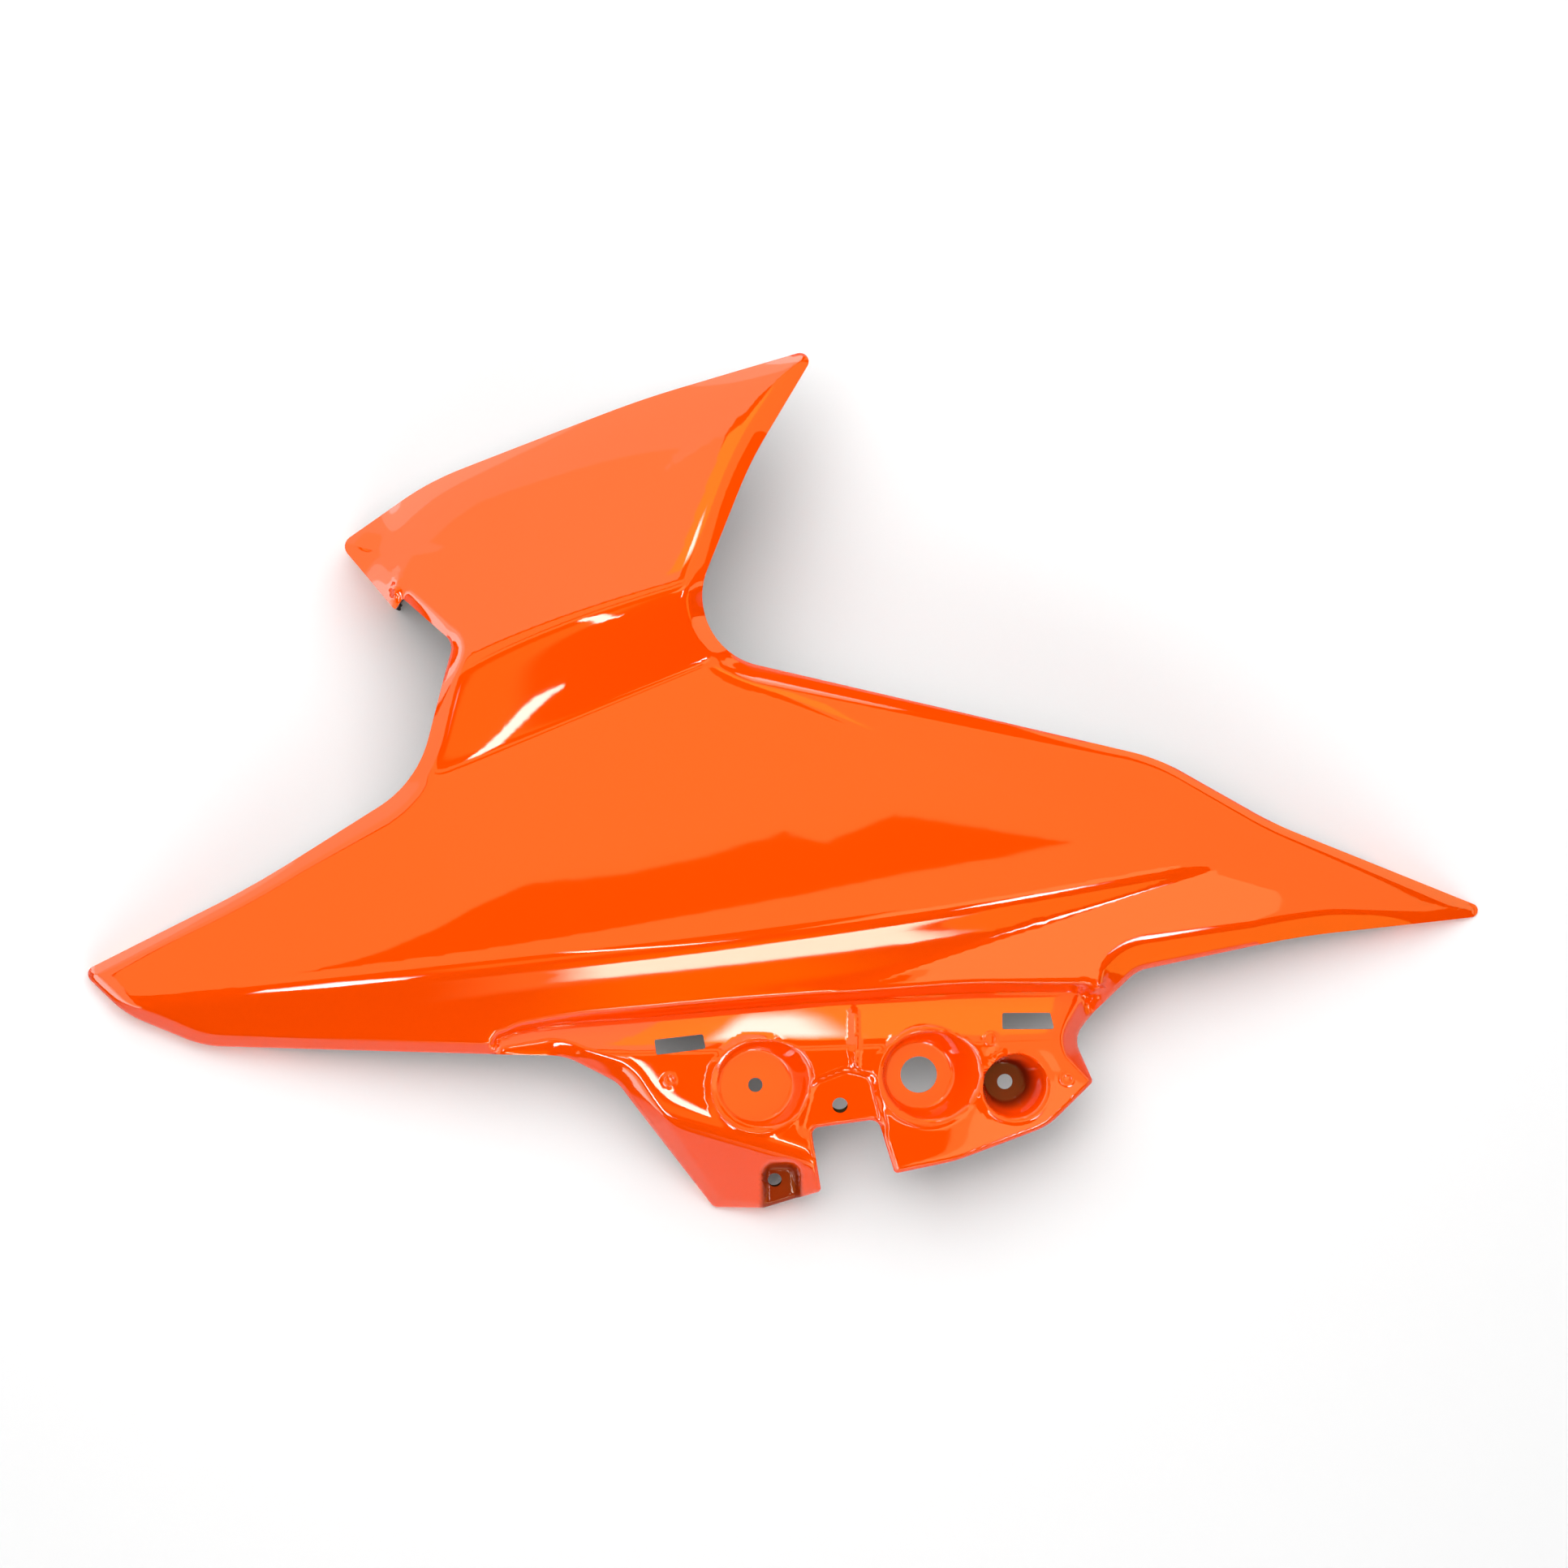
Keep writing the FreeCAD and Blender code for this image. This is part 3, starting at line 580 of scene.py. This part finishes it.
def apron_height(points):
    """Apron face with its sunk pad, gutter rib, mould marks, seats and arched pocket.

    The pad sinks by a logistic step across its outline. Rib, marks and lips add bell curves of the distance
    to their middle lines. Seats and pocket cut in as the lower of the two heights.
    """
    x, y = points.T
    height = apron_face(x, y)
    pad, _, _ = edge_distance(plain_loop(PAD, PAD_STEP), points)
    height = height - PAD_DEPTH / (1 + np.exp(np.minimum(-pad / PAD_EDGE, PAD_EDGE_MOST)))
    rib_x, rib_low, rib_high = RIB
    rib = np.exp(-((x - rib_x) / RIB_HALF_WIDTH) ** 4)
    rib = rib / (1 + np.exp(-(y - rib_low) / RIB_END)) / (1 + np.exp((y - rib_high) / RIB_END))
    height = height + RIB_HEIGHT * rib
    for mark_x, mark_y in MOULD_MARKS:
        from_ring = np.hypot(x - mark_x, y - mark_y) - MARK_RADIUS
        height = height + MARK_HEIGHT * np.exp(-(from_ring / MARK_WIDTH) ** 2)
    for seat in SEATS:
        (mx, my), mouth = seat[2], seat[3]
        lip = np.exp(-((np.hypot(x - mx, y - my) - mouth - SEAT_LIP_OUT) / SEAT_LIP_WIDTH) ** 2)
        height = smooth_min(height + SEAT_LIP * lip, seat_surface(seat, x, y), SEAT_LIP_ROUND)
    pocket, _, _ = edge_distance(plain_loop(POCKET, LOOP_STEP), points)
    floor_height, floor_y, floor_slope = POCKET_FLOOR
    floor = floor_height + floor_slope * (y - floor_y)
    wall = floor + POCKET_WALL_RISE - POCKET_WALL_SLOPE * pocket
    return smooth_min(height, smooth_max(floor, wall, POCKET_FLOOR_ROUND), POCKET_LIP_ROUND)


def panel_height(points):
    """Height of the whole panel: the higher of the skin and the apron, each with its own rolled rim."""
    x, y = points.T
    skin_rim, _ = rim_drop(SKIN_EDGE, points)
    apron_rim, apron_in = rim_drop(APRON_LOOP, points)
    skin = skin_height(x, y) - skin_rim
    apron = apron_height(points) - apron_rim
    apron = np.where(apron_in > -APRON_UNDERLAP, apron, NO_APRON)
    return smooth_max(skin, apron, STEP_ROUND)


def rows_beside(line, distances, step):
    """Rows of points along a straight fold, at the given distances to its left."""
    (x0, y0), (x1, y1) = line
    length = math.hypot(x1 - x0, y1 - y0)
    run = np.array([x1 - x0, y1 - y0]) / length
    t = np.arange(0, length, step)[None, :, None]
    d = np.array(distances)[:, None, None]
    return (np.array([x0, y0]) + run * t + np.array([-run[1], run[0]]) * d).reshape(-1, 2)


def rings_round(centre, radii, step):
    """Rings of points round a centre, each with points about a step apart."""
    rings = []
    for radius in radii:
        count = max(round(2 * math.pi * radius / step), LEAST_RING_POINTS)
        angle = np.arange(0, 2 * math.pi, 2 * math.pi / count)
        rings.append(np.stack([centre[0] + radius * np.cos(angle), centre[1] + radius * np.sin(angle)], 1))
    return np.concatenate(rings)


def hexagon_grid(low, high, step):
    """Points of a triangular grid over a box in plan."""
    rows = np.arange(low[1], high[1], step * math.sqrt(3) / 2)
    columns = np.arange(low[0], high[0], step)
    x, y = np.meshgrid(columns, rows)
    x = x + (np.arange(len(rows)) % 2)[:, None] * step / 2
    return np.stack([x.ravel(), y.ravel()], 1)


def mesh_points():
    """Outline and hole loops, and the points inside: rings by rims and seats, rows by folds, and a grid."""
    edge, values = rounded_loop(PANEL_EDGE, EDGE_STEP)
    normals = inward(edge)
    holes = [rings_round(seat[0], [seat[6]], HOLE_STEP) for seat in SEATS]
    holes += [rings_round(centre, [radius], HOLE_STEP) for centre, radius in (PAD_HOLE, POCKET_HOLE)]
    holes += [plain_loop(slot, SLOT_STEP) for slot in (SLOT_LEFT, SLOT_RIGHT)]
    rim = np.concatenate([edge + normals * values[:, :1] * f for f in RIM_RINGS])
    rim_depth = np.concatenate([values[:, 0] * f for f in RIM_RINGS])
    rim_gap, _, _ = edge_distance(edge, rim)
    rim = rim[rim_gap > np.maximum(RINGS_OFF_RIM * rim_depth, LEAST_RING_GAP)]

    step_line, _ = rounded_loop(SKIN_EDGE, EDGE_STEP)
    on_step = edge_distance(edge, step_line)[0] > STEP_OFF_EDGE
    step_in = inward(step_line)
    wall = np.concatenate([(step_line + step_in * d)[on_step] for d in STEP_ROWS])

    folds = [rows_beside(line, FOLD_ROWS, FOLD_STEP) for line in (RIDGE, VALLEY, BROW)]
    folds += [rows_beside(FOLD, APRON_FOLD_ROWS, APRON_FOLD_STEP)]
    folds = np.concatenate(folds)
    seat_rings = []
    for floor, floor_radius, mouth, mouth_radius, _, _, hole_radius in SEATS:
        from_hole, from_wall, apart = SEAT_FLOOR_RINGS
        radii = np.arange(hole_radius + from_hole, floor_radius - from_wall, apart)
        seat_rings.append(rings_round(floor, radii, SEAT_FLOOR_STEP))
        for t in np.linspace(*SEAT_RINGS):
            centre = (floor[0] + (mouth[0] - floor[0]) * t, floor[1] + (mouth[1] - floor[1]) * t)
            radius = floor_radius + (mouth_radius - floor_radius) * t
            seat_rings.append(rings_round(centre, [radius], SEAT_WALL_STEP))
    seat_rings += [rings_round(mark, MARK_RINGS, HOLE_STEP) for mark in MOULD_MARKS]
    seat_rings = np.concatenate(seat_rings)

    low, high = edge.min(0), edge.max(0)
    fine = hexagon_grid(*APRON_GRID, APRON_STEP)
    on_apron = edge_distance(plain_loop([c[:3] for c in APRON_LOOP], LOOP_STEP), fine)[0] > 0
    fine = fine[on_apron & (edge_distance(step_line, fine)[0] < -APRON_OFF_STEP)]
    coarse = hexagon_grid(low, high, SKIN_STEP)
    coarse = coarse[edge_distance(step_line, coarse)[0] > SKIN_OFF_STEP]

    def clear_of_rim(points, factor):
        """True for the points farther from the edge than a factor times the rim's width there."""
        gap, number, _ = edge_distance(edge, points)
        return gap > np.maximum(values[number, 0] * factor, LEAST_RIM_GAP)

    def clear_of_folds(points, lines, gap):
        """True for the points farther than a gap from every fold."""
        near = np.zeros(len(points), bool)
        for line in lines:
            t = along(line, *points.T)
            length = math.dist(*line)
            beside = (t > -FOLD_OVERRUN) & (t < length + FOLD_OVERRUN)
            near |= beside & (abs(across(line, *points.T)) < gap)
        return ~near

    coarse = coarse[clear_of_rim(coarse, SKIN_OFF_RIM)
                    & clear_of_folds(coarse, (RIDGE, VALLEY, BROW), SKIN_OFF_FOLD)]
    fine = fine[clear_of_rim(fine, APRON_OFF_RIM) & clear_of_folds(fine, (FOLD,), APRON_OFF_FOLD)]
    for _, _, mouth, mouth_radius, _, _, _ in SEATS:
        fine = fine[np.hypot(*(fine - mouth).T) > mouth_radius + APRON_OFF_SEAT]
    folds = folds[clear_of_rim(folds, FOLDS_OFF_RIM)]
    wall = wall[clear_of_rim(wall, STEP_OFF_RIM)]
    seat_rings = seat_rings[clear_of_rim(seat_rings, SEATS_OFF_RIM)]
    return edge, holes, np.concatenate([rim, wall, folds, seat_rings, fine, coarse])


def triangulated(edge, holes, points):
    """Delaunay triangles of all points that lie inside the edge and outside the holes."""
    loops = [edge, *holes]
    links = []
    start = 0
    for loop in loops:
        n = np.arange(len(loop))
        links.append(np.stack([start + n, start + np.roll(n, -1)], 1))
        start += len(loop)
    everything = np.concatenate([*loops, points])
    flat = [Vector(p) for p in everything.tolist()]
    found = delaunay_2d_cdt(flat, np.concatenate(links).tolist(), [], 1, MERGE_GAP)
    plan = np.array([tuple(v) for v in found[0]])
    faces = np.array(found[2])
    middles = plan[faces].mean(1)
    keep = inside(edge, middles)
    for hole in holes:
        keep &= ~inside(hole, middles)
    faces = faces[keep]
    corner = plan[faces]
    turn = np.cross(corner[:, 1] - corner[:, 0], corner[:, 2] - corner[:, 0])
    faces[turn < 0] = faces[turn < 0][:, ::-1]
    faces = faces[abs(turn) > 1e-6]
    used, faces = np.unique(faces, return_inverse=True)
    return plan[used], faces.reshape(-1, 3)


def upright_share(points, faces):
    """Upward part of each point's unit normal, from the faces round it."""
    corner = points[faces]
    normal = np.cross(corner[:, 1] - corner[:, 0], corner[:, 2] - corner[:, 0])
    total = np.zeros_like(points)
    for k in range(3):
        np.add.at(total, faces[:, k], normal)
    return total[:, 2] / np.linalg.norm(total, axis=1)


def panel_shell():
    """Upper face, underside a wall's thickness below it, and the flange that joins them along every edge.

    The underside's points are drawn in from the edge by up to a wall, then lie below the upper face by the
    wall over the upright share of its normal. The flange's rows step evenly from the upper edge to its foot.
    """
    edge, holes, points = mesh_points()
    plan, faces = triangulated(edge, holes, points)
    top = np.column_stack([plan, panel_height(plan)])

    gap, number, _ = edge_distance(edge, plan)
    normals = inward(edge)
    moved = plan + normals[number] * (WALL * np.clip(1 - gap / UNDERSIDE_REACH, 0, 1))[:, None]
    below = np.column_stack([moved, panel_height(moved)])
    thickness = WALL / np.clip(upright_share(below, faces), LEAST_UPRIGHT, 1)
    below[:, 2] = np.maximum(below[:, 2] - thickness, LEAST_UNDERSIDE)
    top[:, 2] = np.maximum(top[:, 2], LEAST_TOP)

    directed = np.concatenate([faces[:, [0, 1]], faces[:, [1, 2]], faces[:, [2, 0]]])
    sides = np.sort(directed, 1)
    _, first, count = np.unique(sides, axis=0, return_index=True, return_counts=True)
    rim = directed[first[count == 1]]
    rim_points = np.unique(rim)
    slot_of = np.full(len(plan), -1)
    slot_of[rim_points] = np.arange(len(rim_points))

    on_edge = gap[rim_points] < ON_EDGE
    x, y = plan[rim_points].T
    on_apron = (y < APRON_SIDE_TOP) & (x > APRON_SIDE_X[0]) & (x < APRON_SIDE_X[1])
    hang = np.where(on_apron, APRON_FLANGE, FLANGE)
    lobe = (x < LOBE_RIGHT) & (y > LOBE_Y[0]) & (y < LOBE_Y[1])
    hang = np.where(lobe, LOBE_FLANGE, hang)
    crest = top[rim_points, 2]
    foot = np.maximum(np.minimum(crest - hang, below[rim_points, 2] - LEAST_FLANGE), 0.0)
    foot = np.where(on_edge, foot, below[rim_points, 2])
    below[rim_points, 2] = np.maximum(below[rim_points, 2], foot + LEAST_UNDERSIDE * on_edge)
    n, r = len(plan), len(rim_points)
    outer = [np.column_stack([plan[rim_points], crest + (foot - crest) * t])
             for t in np.arange(1, FLANGE_ROWS) / FLANGE_ROWS]
    flange = [*outer, np.column_stack([plan[rim_points], foot]), np.column_stack([moved[rim_points], foot])]
    rows = []
    for i, row in enumerate(flange):
        bore = np.column_stack([plan[rim_points], crest + (foot - crest) * (i + 1) / (len(flange) + 1)])
        rows.append(np.where(on_edge[:, None], row, bore))
    everything = np.concatenate([top, below, *rows])

    def level(points, i):
        """Numbers of rim points on the upper face, on a row of the flange or on the underside."""
        if i == 0:
            return points
        if i == len(rows) + 1:
            return n + points
        return 2 * n + (i - 1) * r + slot_of[points]

    x, y = plan.T
    depth = apron_face(x, y) - top[:, 2]
    _, _, (mouth_x, mouth_y), mouth_radius, _, _, _ = SEATS[2]
    in_cup = np.hypot(x - mouth_x, y - mouth_y) < mouth_radius
    in_pocket = edge_distance(plain_loop(POCKET, LOOP_STEP), plan)[0]
    # Painted shade: the paint darkens towards the bare colour deeper in the bolt cup and across the pocket.
    shade_top = np.where(in_cup, np.clip((depth - SHADE_FROM) / SHADE_OVER, 0, CUP_SHADE), 0.0)
    shade_top = np.maximum(shade_top, POCKET_SHADE * np.clip(in_pocket / POCKET_SHADE_OVER, 0, 1))
    # The bores of holes and slots and the lobe's end get the underside's dark colour.
    lobe_end = np.hypot(x[rim_points] - LOBE_END[0], y[rim_points] - LOBE_END[1]) < LOBE_END_RADIUS
    hidden = (~on_edge | lobe_end).astype(float)
    # Share of the bare colour: bare plastic on the underside and the inner flange, painted shade in the cup
    # and the pocket.
    bare_and_shade = np.concatenate([shade_top, np.ones(n), *[hidden] * (len(rows) - 1), np.ones(r)])

    a, b = rim.T
    walls = [np.column_stack([level(b, i), level(a, i), level(a, i + 1), level(b, i + 1)])
             for i in range(len(rows) + 1)]
    return everything, [faces, faces[:, ::-1] + n, np.concatenate(walls)], bare_and_shade


def fairing_piece(material):
    """The panel as one smooth-shaded mesh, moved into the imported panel's frame and scaled to metres."""
    points, faces, bare_and_shade = panel_shell()
    points = (points + [*PLAN_SHIFT, 0.0]) * MM
    mesh = bpy.data.meshes.new("fairing_panel_skin")
    mesh.from_pydata(points.tolist(), [], [corners for part in faces for corners in part.tolist()])
    mesh.validate()
    mesh.polygons.foreach_set("use_smooth", np.ones(len(mesh.polygons), bool))
    mesh.set_sharp_from_angle(angle=math.radians(SHARP_ANGLE))
    loops = np.empty(len(mesh.loops), int)
    mesh.loops.foreach_get("vertex_index", loops)
    # Share of the bare colour per corner: bare plastic, and painted shade in the cup and the pocket.
    share = mesh.uv_layers.new(name="bare_share")
    share.data.foreach_set("uv", np.column_stack([bare_and_shade[loops], np.zeros(len(loops))]).ravel())
    mesh.materials.append(material)
    piece = bpy.data.objects.new("fairing_panel_skin", mesh)
    bpy.context.scene.collection.objects.link(piece)
    return piece


def linear(hex_colour):
    """sRGB hex value as a linear colour."""
    channels = [int(hex_colour[i:i + 2], 16) / 255 for i in (1, 3, 5)]
    return (*[c / 12.92 if c <= 0.04045 else ((c + 0.055) / 1.055) ** 2.4 for c in channels], 1.0)


def node(tree, kind, settings=None, inputs=None, links=None):
    """Adds a node with its settings, its input values and its links from other nodes' sockets."""
    made = tree.nodes.new(kind)
    for name, value in (settings or {}).items():
        setattr(made, name, value)
    for name, value in (inputs or {}).items():
        made.inputs[name].default_value = value
    for name, socket in (links or {}).items():
        tree.links.new(socket, made.inputs[name])
    return made


def clear_coated_orange_abs():
    """Moulded dark ABS, sprayed orange and clear-coated: glassy outside and bare inside; the bare colour, with
    less coat, is also painted shade deep in the bolt cup and the pocket.
    """
    material = bpy.data.materials.new("clear_coated_orange_abs")
    material.use_nodes = True
    tree = material.node_tree
    tree.nodes.clear()
    place = node(tree, "ShaderNodeTexCoord")
    ripple = node(tree, "ShaderNodeTexNoise", inputs={"Scale": 1 / (RIPPLE_SIZE * MM), "Detail": 1.0},
                  links={"Vector": place.outputs["Object"]})
    bump = node(tree, "ShaderNodeBump", inputs={"Strength": RIPPLE_STRENGTH, "Distance": RIPPLE_DEPTH},
                links={"Height": ripple.outputs["Fac"]})
    share = node(tree, "ShaderNodeUVMap", {"uv_map": "bare_share"})
    bare_and_shade = node(tree, "ShaderNodeSeparateXYZ", links={0: share.outputs["UV"]})
    # The share mixes in the bare colour and takes off coat: bare plastic underneath, painted shade in the cup
    # and the pocket.
    colour = node(tree, "ShaderNodeMix", {"data_type": "RGBA"},
                  {6: linear(PAINT_COLOUR), 7: linear(BARE_AND_SHADE_COLOUR)}, {0: bare_and_shade.outputs["X"]})
    coat = node(tree, "ShaderNodeMath", {"operation": "MULTIPLY_ADD"}, {1: -BARE_AND_SHADE_COAT_LOSS, 2: 1.0},
                {0: bare_and_shade.outputs["X"]})
    paint = node(tree, "ShaderNodeBsdfPrincipled",
                 inputs={"Roughness": 0.35, "IOR": 1.5, "Specular IOR Level": 0.0, "Coat Roughness": 0.03,
                         "Coat IOR": 1.5},
                 links={"Base Color": colour.outputs[2], "Coat Weight": coat.outputs[0],
                        "Coat Normal": bump.outputs["Normal"]})
    node(tree, "ShaderNodeOutputMaterial", links={"Surface": paint.outputs["BSDF"]})
    return material


def white_table():
    """Matt white photographic table; camera and mirror rays see it a little lifted, so it reads as white."""
    material = bpy.data.materials.new("white_table")
    material.use_nodes = True
    tree = material.node_tree
    tree.nodes.clear()
    matt = node(tree, "ShaderNodeBsdfDiffuse", inputs={"Color": linear(TABLE_COLOUR)})
    glow = node(tree, "ShaderNodeEmission", inputs={"Color": linear("#FFFFFF"), "Strength": TABLE_GLOW})
    path = node(tree, "ShaderNodeLightPath")
    seen = node(tree, "ShaderNodeMath", {"operation": "MAXIMUM"},
                links={0: path.outputs["Is Camera Ray"], 1: path.outputs["Is Glossy Ray"]})
    seen = node(tree, "ShaderNodeMath", {"operation": "MAXIMUM"},
                links={0: seen.outputs[0], 1: path.outputs["Is Transmission Ray"]})
    lifted = node(tree, "ShaderNodeAddShader", links={0: matt.outputs[0], 1: glow.outputs[0]})
    mixed = node(tree, "ShaderNodeMixShader",
                 links={0: seen.outputs[0], 1: matt.outputs[0], 2: lifted.outputs[0]})
    node(tree, "ShaderNodeOutputMaterial", links={"Surface": mixed.outputs[0]})
    return material


def table():
    """Flat table top, far larger than the picture."""
    half = TABLE_HALF
    corners = [(-half, -half, 0), (half, -half, 0), (half, half, 0), (-half, half, 0)]
    mesh = bpy.data.meshes.new("table")
    mesh.from_pydata(corners, [], [(0, 1, 2, 3)])
    mesh.materials.append(white_table())
    top = bpy.data.objects.new("table", mesh)
    bpy.context.scene.collection.objects.link(top)
    return top


def softbox(name, place, size, power):
    """Rectangular studio light that faces the panel and isn't mirrored in it."""
    lamp = bpy.data.lights.new(name, "AREA")
    lamp.shape = "RECTANGLE"
    lamp.size, lamp.size_y = size
    lamp.energy = power
    light = bpy.data.objects.new(name, lamp)
    light.location = place
    light.rotation_euler = (-Vector(place)).to_track_quat("-Z", "Y").to_euler()
    light.visible_glossy = False
    bpy.context.scene.collection.objects.link(light)


def card(name, colour, radiance, softness, near_side, far_side):
    """Flat glowing card that only mirror reflections see, spanned between its two long sides.

    Towards its edges the card turns clear over the soft share of its length and width, so what lies behind it
    shows.
    """
    material = bpy.data.materials.new(name)
    material.use_nodes = True
    tree = material.node_tree
    tree.nodes.clear()
    place = node(tree, "ShaderNodeUVMap", {"uv_map": "card"})
    parts = node(tree, "ShaderNodeSeparateXYZ", links={0: place.outputs["UV"]})
    glow = node(tree, "ShaderNodeEmission", inputs={"Color": linear(colour), "Strength": radiance})
    shader = glow
    for axis, soft in zip("XY", softness):
        if soft:
            from_edge = node(tree, "ShaderNodeMath", {"operation": "PINGPONG"}, {1: 0.5},
                             {0: parts.outputs[axis]})
            fade = node(tree, "ShaderNodeMapRange", {"interpolation_type": "SMOOTHSTEP"}, {"From Max": soft},
                        {"Value": from_edge.outputs[0]})
            clear = node(tree, "ShaderNodeBsdfTransparent")
            shader = node(tree, "ShaderNodeMixShader",
                          links={0: fade.outputs[0], 1: clear.outputs[0], 2: shader.outputs[0]})
    node(tree, "ShaderNodeOutputMaterial", links={"Surface": shader.outputs[0]})
    count = len(near_side)
    quads = [(i, i + 1, count + i + 1, count + i) for i in range(count - 1)]
    mesh = bpy.data.meshes.new(name)
    mesh.from_pydata([*near_side, *far_side], [], quads)
    spots = [(i / (count - 1), v) for v in (0.0, 1.0) for i in range(count)]
    layer = mesh.uv_layers.new(name="card")
    layer.data.foreach_set("uv", np.array([spots[i] for quad in quads for i in quad]).ravel())
    mesh.materials.append(material)
    made = bpy.data.objects.new(name, mesh)
    made.visible_camera = False
    made.visible_diffuse = False
    made.visible_shadow = False
    made.visible_transmission = False
    bpy.context.scene.collection.objects.link(made)


def studio():
    """Soft lights from above and in front, a plain grey world, and the cards that the paint mirrors."""
    world = bpy.data.worlds.new("studio")
    bpy.context.scene.world = world
    world.use_nodes = True
    background = world.node_tree.nodes["Background"]
    background.inputs["Color"].default_value = linear("#FFFFFF")
    background.inputs["Strength"].default_value = WORLD_LEVEL
    world.cycles_visibility.glossy = False
    for entry in SOFTBOXES:
        softbox(*entry)
    for entry in CARDS:
        card(*entry)


def camera():
    """Straight above the panel, far enough away for almost parallel rays."""
    lens = bpy.data.cameras.new("camera")
    lens.sensor_width = SENSOR
    lens.lens = SENSOR * CAMERA_DISTANCE / (PICTURE_WIDTH * MM)
    lens.clip_end = 20.0
    view = bpy.data.objects.new("camera", lens)
    view.location = (PLAN_SHIFT[0] * MM, PLAN_SHIFT[1] * MM, CAMERA_DISTANCE + MIDDLE_HEIGHT)
    bpy.context.scene.collection.objects.link(view)
    bpy.context.scene.camera = view


panel = fairing_piece(clear_coated_orange_abs())
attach(panel, "root")
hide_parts("fairing_panel")
table()
studio()
camera()
bpy.context.scene.view_settings.view_transform = "Standard"
